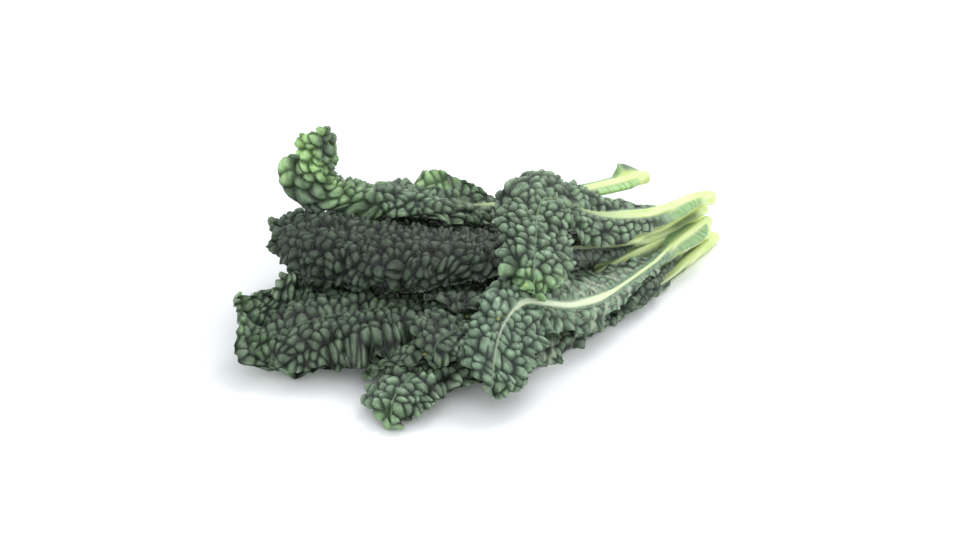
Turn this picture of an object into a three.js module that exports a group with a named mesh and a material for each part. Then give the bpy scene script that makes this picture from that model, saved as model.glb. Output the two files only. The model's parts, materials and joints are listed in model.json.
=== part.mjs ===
// A bunch of black kale (cavolo nero) lying on its side: thirteen loose leaves, their cut stalks together.
// Units are millimetres. +X runs from the leaf tips to the cut stalks, +Y is the far side and +Z is up.
// The origin is the middle of the bunch's footprint, on the surface that it lies on.
import * as THREE from "three";

// ---- Driving dimensions ----
const BUNCH_LENGTH = 413; // along X, from the outermost leaf tip to the longest stalk
const BUNCH_SPREAD = 241; // along Y, across the outermost leaves
const BLADE_THICKNESS = 3.8; // the blistered blade, from the hollows below to the tops of the blisters
const RIB_TIP_DIAMETER = 4; // the midrib, where it ends in the leaf tip
const LEAF_GAP = 0.6; // clearance kept between one leaf and the next
const CUT_DOME = 1; // how far the middle of a cut stalk stands proud of its rim

// The routes below are drawn for a bunch of this size, and stretched to the one asked for above.
const ROUTE_LENGTH = 413;
const ROUTE_SPREAD = 241;

// ---- Resolution of the solids ----
const RINGS = 22; // cross-sections along a leaf
const RING_CROWDING = 0.86; // under 1 sets the rings closer together towards the tip
const COLUMNS = [0, 0.16, 0.44, 0.74, 1]; // places across half a blade, from the midrib to the margin

// ---- Settling ----
const CELL = 1.25; // grid step of the height map that each new leaf is laid on
const FIELD_HALF = [340, 260]; // half the size of that map, along X and Y
const SAMPLE_STEP = 0.8; // spacing of the points tested on each triangle
const MOST_TILT = 16; // how far a margin may be raised above the other, as a half difference
const TILT_STEPS = 8; // tilts tried to each side
const STEEPEST_LIFT = 0.4; // change of lift per millimetre of leaf
const STIFFNESS_PASSES = 4; // how far a leaf bridges the dips below it

const DARK_BLADE = 0x3f5a48;
const DEEP_BLADE = 0x35503f;
const LIGHT_BLADE = 0x5f8556;
const PALE_BLADE = 0x557a5c;

// Each leaf, in the order they were laid down. A route is the line of the midrib, from the cut stalk to the
// tip; blades start at a share of it.
// Each shape row is [place along the leaf, roll, front rise, front curl, back rise, back curl] in degrees:
// a half blade leaves the midrib at its rise and then turns down by its curl before it reaches the margin.
// A seventh value is the width of the front half as a share of the back one, where they differ.
const LEAVES = [
  {
    name: "hooked_front_leaf",
    colour: DARK_BLADE,
    halfWidth: 27,
    stalk: 8,
    bladeFrom: 0.42,
    route: [
      [206, 11, 5], [130, -10, 6], [60, -38, 6], [0, -60, 7], [-50, -75, 12], [-84, -88, 20],
      [-106, -97, 21], [-121, -108, 16], [-127, -119, 7],
    ],
    shape: [
      [0, 0, 10, 40, 10, 40],
      [0.6, 0, 10, 60, 10, 60],
      [0.8, 0, 20, 80, 20, 80],
      [1, 0, 10, 80, 10, 80],
    ],
  },
  {
    name: "low_front_leaf",
    colour: DARK_BLADE,
    halfWidth: 33,
    stalk: 9,
    bladeFrom: 0.42,
    route: [
      [210, 22, 5], [130, 6, 6], [60, -12, 7], [0, -28, 9], [-40, -46, 14], [-67, -59, 20],
      [-97, -66, 19], [-119, -69, 9],
    ],
    shape: [
      [0, 0, 10, 40, 10, 40],
      [0.65, 0, 20, 90, 25, 60],
      [1, 0, 15, 80, 20, 50],
    ],
  },
  {
    name: "outer_left_leaf",
    colour: DARK_BLADE,
    halfWidth: 46,
    stalk: 10,
    bladeFrom: 0.35,
    route: [
      [216, 45, 6], [150, 40, 6], [80, 27, 7], [0, 12, 8], [-70, 0, 9], [-120, 0, 11], [-152, 6, 14],
      [-174, 15, 24], [-183, 19, 42],
    ],
    shape: [
      [0, 0, 10, 30, 10, 20],
      [0.5, 0, 5, 30, 5, 10],
      [0.75, 0, 5, 45, 45, -30],
      [0.92, 0, 5, 50, 50, -20],
      [1, 0, 0, 30, 30, -20],
    ],
  },
  {
    name: "front_floor_leaf",
    colour: PALE_BLADE,
    halfWidth: 36,
    stalk: 9,
    bladeFrom: 0.15,
    route: [
      [214, 0, 5], [172, -24, 6], [127, -46, 7], [78, -63, 8], [53, -71, 8], [22, -81, 8],
      [-8, -90, 9], [-30, -100, 8],
    ],
    shape: [
      [0, 0, 10, 40, 10, 20, 0.4],
      [0.5, 0, 0, 120, 20, 25, 0.4],
      [1, 0, 10, 120, 25, 70, 0.4],
    ],
  },
  {
    name: "short_side_leaf",
    colour: DEEP_BLADE,
    halfWidth: 18,
    stalk: 7,
    bladeFrom: 0.25,
    route: [[203, -7, 12], [179, -17, 16], [133, -40, 20], [97, -58, 21], [70, -68, 18]],
    shape: [
      [0, 0, 10, 60, 10, 60],
      [0.5, -10, 25, 140, 25, 120],
      [1, -10, 20, 100, 20, 100],
    ],
  },
  {
    name: "broad_front_leaf",
    colour: DARK_BLADE,
    halfWidth: 38,
    stalk: 10,
    bladeFrom: 0.38,
    route: [
      [213, 33, 6], [130, 20, 12], [60, 2, 17], [0, -14, 22], [-59, -29, 31], [-99, -26, 37],
      [-134, -20, 37], [-160, -18, 33], [-182, -18, 24],
    ],
    shape: [
      [0, 0, 10, 40, 10, 40, 0.8],
      [0.55, 6, 10, 50, 10, 40, 0.8],
      [0.85, 10, 15, 80, 20, 60, 0.8],
      [1, 0, 10, 80, 10, 80, 0.8],
    ],
  },
  {
    name: "cupped_tip_leaf",
    colour: DARK_BLADE,
    halfWidth: 30,
    stalk: 8.5,
    bladeFrom: 0.38,
    route: [
      [209, 5, 13], [140, -12, 17], [70, -38, 21], [10, -58, 26], [-32, -70, 30], [-58, -81, 32],
      [-78, -90, 27], [-86, -96, 17],
    ],
    shape: [
      [0, 0, 10, 40, 10, 40, 0.7],
      [0.6, 6, 10, 50, 10, 40, 0.7],
      [0.85, 6, 20, 70, 25, 60, 0.7],
      [1, 0, 10, 70, 10, 70, 0.7],
    ],
  },
  {
    name: "shaded_middle_leaf",
    colour: DEEP_BLADE,
    halfWidth: 30,
    stalk: 8.5,
    bladeFrom: 0.38,
    route: [
      [211, 16, 13], [140, 2, 17], [70, -22, 22], [10, -44, 30], [-26, -50, 36], [-45, -46, 38],
      [-62, -40, 36],
    ],
    shape: [
      [0, 0, 10, 40, 10, 40],
      [0.6, 0, 10, 40, 10, 40],
      [1, 0, 15, 60, 15, 60],
    ],
  },
  {
    name: "white_rib_leaf",
    colour: PALE_BLADE,
    halfWidth: 34,
    stalk: 9,
    bladeFrom: 0.15,
    route: [
      [205, -1, 21], [169, -22, 25], [131, -42, 26], [100, -58, 28], [61, -76, 31], [26, -86, 35],
      [5, -86, 38], [-13, -90, 38], [-28, -99, 34], [-41, -110, 25], [-52, -123, 13], [-60, -135, 1],
    ],
    shape: [
      [0, 0, 10, 40, 10, 10, 0.5],
      [0.5, 0, 10, 90, 15, 20, 0.35],
      [0.68, 0, 15, 60, 15, 60, 0.35],
      [0.82, 0, 10, 60, 10, 100, 0.7],
      [1, 0, 10, 60, 10, 60, 0.8],
    ],
  },
  {
    name: "left_end_leaf",
    colour: DARK_BLADE,
    halfWidth: 36,
    stalk: 9,
    bladeFrom: 0.38,
    route: [
      [212, 28, 14], [140, 28, 22], [60, 33, 34], [0, 42, 45], [-54, 58, 54], [-92, 72, 59],
      [-112, 82, 61], [-129, 89, 57],
    ],
    shape: [
      [0, 0, 10, 40, 10, 40],
      [0.5, 0, 15, 60, 15, 60],
      [1, 0, 15, 100, 15, 100],
    ],
  },
  {
    name: "long_centre_leaf",
    colour: DARK_BLADE,
    halfWidth: 43,
    stalk: 10.5,
    bladeFrom: 0.2,
    route: [
      [208, 11, 23], [165, -10, 30], [127, -26, 37], [86, -31, 44], [51, -32, 50], [9, -27, 57],
      [-28, -16, 62], [-64, 0, 64], [-100, 24, 62], [-124, 42, 56], [-140, 56, 46],
    ],
    shape: [
      [0, 0, 10, 40, 10, 20],
      [0.4, 0, 20, 80, 25, 10],
      [0.6, 2, 25, 120, 10, 40],
      [0.8, 0, 20, 120, 5, 60],
      [1, 0, 15, 120, 15, 110],
    ],
  },
  {
    name: "curled_tip_leaf",
    colour: LIGHT_BLADE,
    halfWidth: 38,
    stalk: 11,
    bladeFrom: 0.36,
    route: [
      [183, 59, 40], [121, 46, 48], [80, 42, 52], [43, 42, 57], [6, 43, 64], [-40, 52, 70],
      [-74, 63, 74], [-88, 67, 80], [-94, 69, 93], [-94, 71, 112], [-89, 74, 132],
    ],
    shape: [
      [0, 0, 10, 40, 10, 20],
      [0.5, 0, 5, 80, 25, 0],
      [0.64, 0, 0, 80, 20, 10],
      [0.74, -15, -10, 70, 5, 70, 1],
      [0.84, -40, -35, 50, 0, 80, 0.95],
      [0.93, -65, -25, 85, -5, 100, 0.7],
      [1, -75, -15, 110, -10, 110, 0.5],
    ],
  },
  {
    name: "folded_leaf",
    colour: DARK_BLADE,
    halfWidth: 33,
    stalk: 12,
    bladeFrom: 0.14,
    route: [
      [210, 5, 32], [180, -6, 42], [148, -16, 51], [113, -21, 60], [90, -22, 67], [73, -20, 75],
      [58, -18, 84], [43, -21, 90], [30, -34, 87], [19, -52, 75], [8, -70, 59], [-2, -88, 42],
    ],
    shape: [
      [0, 0, 10, 40, 10, 20],
      [0.3, -6, 0, 80, 50, 80],
      [0.48, 4, -35, 50, 55, 60, 1],
      [0.6, 10, -35, 40, 45, 50, 0.7],
      [0.72, 20, 0, 40, 15, 50, 0.62],
      [0.85, 14, 5, 60, 5, 70, 0.8],
      [1, 0, 10, 80, 10, 80, 0.9],
    ],
  },
];

// ---- Helpers ----
const radians = (degrees) => (degrees * Math.PI) / 180;
const clamp01 = (value) => Math.min(1, Math.max(0, value));
const mix = (a, b, share) => a + (b - a) * share;
const smooth = (share) => share * share * (3 - 2 * share);

// The shape of a leaf at one place along it, eased between the rows that were given.
function shapeAt(rows, place) {
  const next = Math.max(1, rows.findIndex((row) => row[0] >= place));
  const [from, to] = [rows[next - 1], rows[next]];
  const share = smooth((place - from[0]) / (to[0] - from[0]));
  const value = (k) => mix(from[k], to[k], share);
  return {
    roll: radians(value(1)),
    front: { rise: radians(value(2)), curl: radians(value(3)) },
    back: { rise: radians(value(4)), curl: radians(value(5)) },
    frontShare: mix(from[6] ?? 1, to[6] ?? 1, share),
  };
}

// Half the width of a leaf at one place: the bare stalk, a blade that widens gently, and a round tip.
const FULL_WIDTH_AT = 0.5; // share of the blade where it reaches its full width
const WIDENING_POWER = 0.75; // under 1 widens the blade sooner
const TIP_ROUND_FROM = 0.78; // share of the blade where the tip starts to round off
const TIP_SHARE = 0.3; // width left at the last ring, as a share of the full one
const RIB_TAPER = 0.8; // under 1 thins the stalk sooner
function halfWidthAt(leaf, place, ribRadius) {
  const along = clamp01((place - leaf.bladeFrom) / (1 - leaf.bladeFrom));
  const widening = smooth(clamp01(along / FULL_WIDTH_AT)) ** WIDENING_POWER;
  const round = clamp01((along - TIP_ROUND_FROM) / (1 - TIP_ROUND_FROM));
  const narrowing = mix(1, TIP_SHARE, 1 - Math.sqrt(1 - round * round));
  return Math.max(ribRadius, leaf.halfWidth * widening * narrowing);
}

// One point of the blade's middle surface: an arc that leaves the midrib at its rise and turns by its curl.
// It returns the distance out and the height, both measured in the plane of the ring.
const LEAST_TURN = 0.01; // radians: a blade that is flatter than this is drawn as this
function arcPoint(distance, halfWidth, rise, curl) {
  const turn = Math.abs(curl) < LEAST_TURN ? LEAST_TURN : curl;
  const radius = halfWidth / turn;
  const angle = rise - (turn * distance) / halfWidth;
  return [radius * (Math.sin(rise) - Math.sin(angle)), radius * (Math.cos(angle) - Math.cos(rise)), angle];
}

// One ring of a leaf, from the front margin over the upper face to the back margin and under the lower face.
// The skin lies half a blade from the middle surface, bulges round the midrib and closes at the margins.
function ringPoints(leaf, place, centre, out, up) {
  const shape = shapeAt(leaf.shape, place);
  const ribRadius = mix(leaf.stalk, RIB_TIP_DIAMETER, place ** RIB_TAPER) / 2;
  const halfWidth = halfWidthAt(leaf, place, ribRadius);
  const spreadShare = clamp01((halfWidth - ribRadius) / (2 * ribRadius)); // 0 on the stalk, 1 on the blade
  const points = { upper: [], lower: [] };
  for (let column = -COLUMNS.length + 1; column < COLUMNS.length; column++) {
    const side = Math.sign(column);
    const width = side < 0 ? mix(ribRadius, halfWidth, shape.frontShare) : halfWidth;
    const distance = width * COLUMNS[Math.abs(column)];
    const { rise, curl } = side < 0 ? shape.front : shape.back;
    const [across, height, angle] = arcPoint(distance, width, rise * spreadShare, curl * spreadShare);
    const middle = centre.clone().addScaledVector(out, -side * across).addScaledVector(up, height);
    const atMargin = Math.abs(column) === COLUMNS.length - 1;
    const round = Math.sqrt(Math.max(0, ribRadius ** 2 - distance ** 2)); // the midrib's own bulge
    const skin = atMargin ? 0 : Math.max(round, spreadShare * (BLADE_THICKNESS / 2));
    const lean = angle * (1 - round / ribRadius);
    const normal = up.clone().multiplyScalar(Math.cos(lean)).addScaledVector(out, side * Math.sin(lean));
    points.upper.push(middle.clone().addScaledVector(normal, skin));
    if (!atMargin) points.lower.unshift(middle.clone().addScaledVector(normal, -skin));
  }
  return [...points.upper, ...points.lower];
}

// The rings of a leaf along its route. The ring's upright is carried along without twisting, then rolled.
function leafRings(leaf) {
  const stretch = new THREE.Vector3(BUNCH_LENGTH / ROUTE_LENGTH, BUNCH_SPREAD / ROUTE_SPREAD, 1);
  const points = leaf.route.map((point) => new THREE.Vector3(...point).multiply(stretch));
  const curve = new THREE.CatmullRomCurve3(points, false, "centripetal");
  const up = new THREE.Vector3(0, 0, 1);
  const rings = [];
  for (let k = 0; k < RINGS; k++) {
    const place = (k / (RINGS - 1)) ** RING_CROWDING;
    const tangent = curve.getTangentAt(place);
    up.addScaledVector(tangent, -up.dot(tangent)).normalize();
    const rolledUp = up.clone().applyAxisAngle(tangent, shapeAt(leaf.shape, place).roll);
    const out = rolledUp.clone().cross(tangent);
    const centre = curve.getPointAt(place);
    rings.push({ points: ringPoints(leaf, place, centre, out, rolledUp), centre, tangent });
  }
  return rings;
}

// ---- Skin of a leaf ----
// Vertex numbers run ring by ring, then the middle of the cut end and the leaf tip. The diagonals lean one
// way on the upper face and the other way on the lower face.
const RING_SIZE = 4 * (COLUMNS.length - 1);
const BACK_MARGIN = RING_SIZE / 2;
const TIP_REACH = 3; // how far the leaf tip lies beyond the last ring

function skinTriangles() {
  const triangles = [];
  const vertex = (ring, place) => ring * RING_SIZE + (place % RING_SIZE);
  for (let ring = 0; ring < RINGS - 1; ring++) {
    for (let place = 0; place < RING_SIZE; place++) {
      const [a, b] = [vertex(ring, place), vertex(ring, place + 1)];
      const [c, d] = [vertex(ring + 1, place + 1), vertex(ring + 1, place)];
      if (place < BACK_MARGIN) triangles.push([a, b, c], [a, c, d]);
      else triangles.push([a, b, d], [b, c, d]);
    }
  }
  const [cutMiddle, tip] = [RINGS * RING_SIZE, RINGS * RING_SIZE + 1];
  for (let place = 0; place < RING_SIZE; place++) {
    triangles.push([cutMiddle, vertex(0, place + 1), vertex(0, place)]);
    triangles.push([tip, vertex(RINGS - 1, place), vertex(RINGS - 1, place + 1)]);
  }
  return triangles;
}
const TRIANGLES = skinTriangles();

// Each vertex's ring, and its place across the leaf from -1 at the front margin to 1 at the back margin.
const acrossOf = (place) => (place <= BACK_MARGIN ? place : RING_SIZE - place) / (BACK_MARGIN / 2) - 1;
const VERTEX_RINGS = [];
const VERTEX_ACROSS = [];
for (let ring = 0; ring < RINGS; ring++) {
  for (let place = 0; place < RING_SIZE; place++) {
    VERTEX_RINGS.push(ring);
    VERTEX_ACROSS.push(acrossOf(place));
  }
}
VERTEX_RINGS.push(0, RINGS - 1);
VERTEX_ACROSS.push(0, 0);

function leafVertices(rings) {
  const vertices = rings.flatMap((ring) => ring.points);
  const [first, last] = [rings[0], rings[RINGS - 1]];
  vertices.push(first.centre.clone().addScaledVector(first.tangent, -CUT_DOME));
  vertices.push(last.centre.clone().addScaledVector(last.tangent, TIP_REACH));
  return vertices;
}

// ---- Laying a leaf on the ones below ----
// The height map holds how high the leaves laid so far reach, cell by cell, and starts as the bare surface.
const FIELD_COLUMNS = Math.ceil((2 * FIELD_HALF[0]) / CELL);
const FIELD_ROWS = Math.ceil((2 * FIELD_HALF[1]) / CELL);
const heights = new Float32Array(FIELD_COLUMNS * FIELD_ROWS);

function cellOf(x, y) {
  const column = Math.floor((x + FIELD_HALF[0]) / CELL);
  const row = Math.floor((y + FIELD_HALF[1]) / CELL);
  return row * FIELD_COLUMNS + column;
}

// The highest of a cell and its eight neighbours.
function heightAround(x, y) {
  const cell = cellOf(x, y);
  let highest = 0;
  for (const row of [-FIELD_COLUMNS, 0, FIELD_COLUMNS]) {
    for (const column of [-1, 0, 1]) highest = Math.max(highest, heights[cell + row + column]);
  }
  return highest;
}

// Visits a lattice of points on every triangle, with the triangle and the point's weights in it.
function eachSample(vertices, visit) {
  for (const triangle of TRIANGLES) {
    const [a, b, c] = triangle.map((k) => vertices[k]);
    const longest = Math.max(a.distanceTo(b), b.distanceTo(c), c.distanceTo(a));
    const steps = Math.max(1, Math.ceil(longest / SAMPLE_STEP));
    for (let i = 0; i <= steps; i++) {
      for (let j = 0; j <= steps - i; j++) {
        const weights = [1 - (i + j) / steps, i / steps, j / steps];
        const blend = (key) => a[key] * weights[0] + b[key] * weights[1] + c[key] * weights[2];
        visit(blend("x"), blend("y"), blend("z"), triangle, weights);
      }
    }
  }
}

const weigh = (triangle, weights, valueOf) =>
  triangle.reduce((sum, vertex, k) => sum + valueOf(vertex) * weights[k], 0);

// The tilt that lets each ring lie lowest on what is below it, eased along the leaf.
const TILT_BINS = 16; // places across a ring where its needs are kept apart
const TILT_COST = 0.25; // millimetres of lift that a leaf takes rather than a millimetre of tilt
function ringTilts(vertices) {
  const needs = Array.from({ length: RINGS }, () => new Array(TILT_BINS + 1).fill(-Infinity));
  eachSample(vertices, (x, y, z, triangle, weights) => {
    const need = heightAround(x, y) - z;
    const bin = Math.round(((weigh(triangle, weights, (k) => VERTEX_ACROSS[k]) + 1) / 2) * TILT_BINS);
    for (const vertex of triangle) {
      const ring = needs[VERTEX_RINGS[vertex]];
      ring[bin] = Math.max(ring[bin], need);
    }
  });
  const tilts = needs.map((ring) => {
    let best = { tilt: 0, cost: Infinity };
    for (let step = -TILT_STEPS; step <= TILT_STEPS; step++) {
      const tilt = (MOST_TILT * step) / TILT_STEPS;
      const lift = Math.max(...ring.map((need, bin) => need - tilt * ((2 * bin) / TILT_BINS - 1)));
      const cost = Math.max(0, lift) + Math.abs(tilt) * TILT_COST;
      if (cost < best.cost) best = { tilt, cost };
    }
    return best.tilt;
  });
  return easeAlong(easeAlong(tilts));
}

const neighbours = (values, k) => [values[Math.max(0, k - 1)], values[Math.min(values.length - 1, k + 1)]];
const easeAlong = (values) =>
  values.map((value, k) => {
    const [before, after] = neighbours(values, k);
    return value / 2 + (before + after) / 4;
  });

// How far each ring has to be raised, with its tilt, to clear everything below by the leaf gap.
function ringLifts(vertices, tilts) {
  let lifts = new Array(RINGS).fill(0);
  eachSample(vertices, (x, y, z, triangle, weights) => {
    const tilted = weigh(triangle, weights, (k) => tilts[VERTEX_RINGS[k]] * VERTEX_ACROSS[k]);
    const below = heightAround(x, y);
    const need = (below ? below + LEAF_GAP : 0) - z - tilted;
    for (const vertex of triangle) {
      lifts[VERTEX_RINGS[vertex]] = Math.max(lifts[VERTEX_RINGS[vertex]], need);
    }
  });
  const steps = vertices.slice(0, RINGS).map((_, k) => vertices[k * RING_SIZE + BACK_MARGIN / 2]);
  const slack = (k) => STEEPEST_LIFT * steps[k].distanceTo(steps[k - 1]);
  for (let k = 1; k < RINGS; k++) lifts[k] = Math.max(lifts[k], lifts[k - 1] - slack(k));
  for (let k = RINGS - 1; k > 0; k--) lifts[k - 1] = Math.max(lifts[k - 1], lifts[k] - slack(k));
  for (let pass = 0; pass < STIFFNESS_PASSES; pass++) {
    lifts = lifts.map((lift, k) => Math.max(lift, (neighbours(lifts, k)[0] + neighbours(lifts, k)[1]) / 2));
  }
  return lifts;
}

// Raises a leaf until it lies on the ones below it, and adds it to the height map.
function layLeaf(vertices) {
  const tilts = ringTilts(vertices);
  const lifts = ringLifts(vertices, tilts);
  vertices.forEach((vertex, k) => {
    vertex.z += lifts[VERTEX_RINGS[k]] + tilts[VERTEX_RINGS[k]] * VERTEX_ACROSS[k];
  });
  eachSample(vertices, (x, y, z) => {
    const cell = cellOf(x, y);
    heights[cell] = Math.max(heights[cell], z);
  });
}

// ---- The bunch ----
function leafMesh(leaf) {
  const vertices = leafVertices(leafRings(leaf));
  layLeaf(vertices);
  const geometry = new THREE.BufferGeometry().setFromPoints(vertices);
  geometry.setIndex(TRIANGLES.flat());
  geometry.computeVertexNormals();
  const material = new THREE.MeshStandardMaterial({ color: leaf.colour, roughness: 0.6, metalness: 0 });
  const mesh = new THREE.Mesh(geometry, material);
  mesh.name = leaf.name;
  return mesh;
}

const bunch = new THREE.Group();
for (const leaf of LEAVES) bunch.add(leafMesh(leaf));

// Puts the origin under the middle of the bunch.
const box = new THREE.Box3().setFromObject(bunch);
const middle = box.getCenter(new THREE.Vector3());
bunch.position.set(-middle.x, -middle.y, -box.min.z);

const part = new THREE.Group();
part.add(bunch);
export default part;
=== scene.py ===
# %% [markdown]
# # A bunch of black kale
#
# Black kale, or cavolo nero, is sold as a loose bunch of long, narrow leaves. Each leaf is a pale, fleshy
# stalk that runs on as the midrib of a dark blue-green blade, and the blade is blistered all over: the tissue
# between the veins grows faster than the veins do, so it puffs up into hundreds of small domes.
#
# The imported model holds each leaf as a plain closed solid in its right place. This lesson loads it as a fixed
# frame, reads the middle surface of every leaf back out of its solid, and grows the blistered leaf on it.

# %% The fixed frame
import json
import math

import bpy
import numpy as np
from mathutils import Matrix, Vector


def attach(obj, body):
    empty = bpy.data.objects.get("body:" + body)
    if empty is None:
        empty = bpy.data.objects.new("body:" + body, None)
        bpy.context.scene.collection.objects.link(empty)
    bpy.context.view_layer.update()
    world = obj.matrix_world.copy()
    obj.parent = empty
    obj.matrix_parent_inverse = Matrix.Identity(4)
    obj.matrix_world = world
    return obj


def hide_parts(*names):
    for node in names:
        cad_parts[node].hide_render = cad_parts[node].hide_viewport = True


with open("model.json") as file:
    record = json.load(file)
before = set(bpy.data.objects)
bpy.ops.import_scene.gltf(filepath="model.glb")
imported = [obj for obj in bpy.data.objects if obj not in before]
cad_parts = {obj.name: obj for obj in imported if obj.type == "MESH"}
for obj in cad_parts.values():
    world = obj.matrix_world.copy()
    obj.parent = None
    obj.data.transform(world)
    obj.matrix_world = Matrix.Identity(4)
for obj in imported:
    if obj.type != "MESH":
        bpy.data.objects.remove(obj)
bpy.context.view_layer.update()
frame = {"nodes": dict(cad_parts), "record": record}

print("leaves in the frame:", ", ".join(sorted(frame["nodes"])))

# %% [markdown]
# ## The view
#
# The camera stands left of the bunch's front, looking down on it by a third of a right angle. A long lens
# keeps the far stalks nearly as large as the near tips. It is set first, so that each leaf can be looked at
# from it as soon as it is made.

# %% Camera
VIEW_AZIMUTH = math.radians(-27)  # round the bunch, from straight in front towards its leaf tips
VIEW_ELEVATION = math.radians(30)
VIEW_DISTANCE = 1.15
VIEW_TARGET = Vector((-0.0102, 0.0191, 0.0298))
LENS_MM = 57.5

camera_data = bpy.data.cameras.new("camera")
camera_data.lens = LENS_MM
camera = bpy.data.objects.new("camera", camera_data)
bpy.context.collection.objects.link(camera)
toward_camera = Vector((
    math.sin(VIEW_AZIMUTH) * math.cos(VIEW_ELEVATION),
    -math.cos(VIEW_AZIMUTH) * math.cos(VIEW_ELEVATION),
    math.sin(VIEW_ELEVATION),
))
camera.location = VIEW_TARGET + VIEW_DISTANCE * toward_camera
camera.rotation_euler = toward_camera.to_track_quat("Z", "Y").to_euler()
bpy.context.scene.camera = camera
bpy.context.scene.view_settings.view_transform = "Standard"
print("camera at", [round(v, 3) for v in camera.location])

# %% [markdown]
# ## Helpers for materials
#
# Colours are chosen as the hex values that a colour picker shows, which are sRGB. Blender works in linear
# light, so one function turns them. A second small function adds a node, fills in its settings and draws its
# links, which keeps each material readable from top to bottom.

# %% Colour and node helpers
def linear(hex_colour):
    """Linear RGBA of an sRGB hex: c / 12.92 below 0.04045, else ((c + 0.055) / 1.055) to the power 2.4."""
    channels = [int(hex_colour[k:k + 2], 16) / 255 for k in (1, 3, 5)]
    return [c / 12.92 if c <= 0.04045 else ((c + 0.055) / 1.055) ** 2.4 for c in channels] + [1.0]


def add(tree, kind, settings=None, links=None, values=None):
    """Adds a node. settings are its properties, values its unlinked inputs and links its linked inputs."""
    node = tree.nodes.new(kind)
    for name, value in (settings or {}).items():
        setattr(node, name, value)
    for name, value in (values or {}).items():
        node.inputs[name].default_value = value
    for name, socket in (links or {}).items():
        tree.links.new(socket, node.inputs[name])
    return node


print("mid grey #808080 in linear light:", round(linear("#808080")[0], 3))

# %% [markdown]
# ## Floor and light
#
# The bunch lies on a plain pale surface. The light is that of a white studio: a bright surround, one soft
# lamp high behind the bunch that puts a waxy light on the domes, and a weaker, larger one in front for the
# hanging leaves. Three lamps at equal strength would be simpler, but they would flatten the blisters.

# %% Floor
FLOOR_HALF = 4.0
BOARD_ROUGHNESS = 0.9


def plain_floor():
    """A flat square round the origin, at the height that the bunch rests on."""
    mesh = bpy.data.meshes.new("floor")
    corners = [(-FLOOR_HALF, -FLOOR_HALF, 0), (FLOOR_HALF, -FLOOR_HALF, 0),
               (FLOOR_HALF, FLOOR_HALF, 0), (-FLOOR_HALF, FLOOR_HALF, 0)]
    mesh.from_pydata(corners, [], [(0, 1, 2, 3)])
    floor = bpy.data.objects.new("floor", mesh)
    bpy.context.collection.objects.link(floor)
    material = bpy.data.materials.new("matt white board")
    material.use_nodes = True
    shader = material.node_tree.nodes["Principled BSDF"]
    shader.inputs["Base Color"].default_value = linear("#fafaf9")
    shader.inputs["Roughness"].default_value = BOARD_ROUGHNESS
    mesh.materials.append(material)
    return floor


plain_floor()
print("floor:", 2 * FLOOR_HALF, "m wide")

# %% Lights
SURROUND = 1.0  # strength of the white surround
KEY_PLACE = Vector((0.85, 0.5, 1.45))  # high behind on the right: the shadow falls to the front left
KEY_POWER = 9.5  # watts
KEY_SIZE = 0.8
FILL_PLACE = Vector((-0.2, -1.4, 1.1))  # in front, for the hanging leaves
FILL_POWER = 8.0
FILL_SIZE = 1.6

world = bpy.data.worlds.new("white surround")
bpy.context.scene.world = world
world.use_nodes = True
world.node_tree.nodes["Background"].inputs["Color"].default_value = linear("#f6faff")
world.node_tree.nodes["Background"].inputs["Strength"].default_value = SURROUND


def soft_lamp(name, place, power, size):
    """A square lamp that faces the bunch. The larger it is, the softer the edges of its shadows."""
    lamp_data = bpy.data.lights.new(name, "AREA")
    lamp_data.energy = power
    lamp_data.size = size
    lamp = bpy.data.objects.new(name, lamp_data)
    bpy.context.collection.objects.link(lamp)
    lamp.location = place
    lamp.rotation_euler = (place - VIEW_TARGET).to_track_quat("Z", "Y").to_euler()
    return lamp


soft_lamp("key lamp", KEY_PLACE, KEY_POWER, KEY_SIZE)
soft_lamp("fill lamp", FILL_PLACE, FILL_POWER, FILL_SIZE)
print("key lamp", round((KEY_PLACE - VIEW_TARGET).length, 2), "m away, fill lamp",
      round((FILL_PLACE - VIEW_TARGET).length, 2), "m away")

# %% [markdown]
# ## Reading a leaf back out of its solid
#
# A leaf's solid is a skin of rings from the cut stalk to the tip. Each ring goes over the upper face from the
# front margin to the back margin and returns under the lower face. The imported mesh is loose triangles, but
# the way they join still says which ring a corner is in: the cut end's middle touches the first ring, the
# first ring touches the second, and so on. The diagonals of the skin fan out at the front margin and run
# together at the back margin, so each margin can be told apart as well.
#
# Reading the frame this way means that no size is written twice: change the solid and the leaf follows.

# %% The cage of a leaf
ROUND_RING = 16  # corners in a ring: two margins, seven above and seven below
HALF_RING = ROUND_RING // 2
MIDRIB = HALF_RING // 2  # the column of the midrib, half way between the margins


def merged_mesh(node):
    """The node's corners with doubles merged, and its triangles. Equal corners agree to a micrometre."""
    mesh = node.data
    corners = np.empty(len(mesh.vertices) * 3)
    mesh.vertices.foreach_get("co", corners)
    loops = np.empty(len(mesh.loops), dtype=np.int64)
    mesh.loops.foreach_get("vertex_index", loops)
    corners = corners.reshape(-1, 3)
    _, first, place = np.unique(np.round(corners, 6), axis=0, return_index=True, return_inverse=True)
    return corners[first], place.reshape(-1)[loops].reshape(-1, 3)


def ring_numbers(corners, triangles):
    """Steps along the skin's edges from the middle of the cut end, the pole with the larger x."""
    valence = np.bincount(triangles.ravel())
    poles = np.flatnonzero(valence == ROUND_RING)
    cut, tip = poles[np.argsort(-corners[poles, 0])]
    steps = np.full(len(corners), len(corners))
    steps[cut] = 0
    edges = np.concatenate([triangles[:, [0, 1]], triangles[:, [1, 2]], triangles[:, [2, 0]]])
    while steps.max() == len(corners):
        np.minimum.at(steps, edges[:, 1], steps[edges[:, 0]] + 1)
        np.minimum.at(steps, edges[:, 0], steps[edges[:, 1]] + 1)
    return steps, cut, tip


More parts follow.
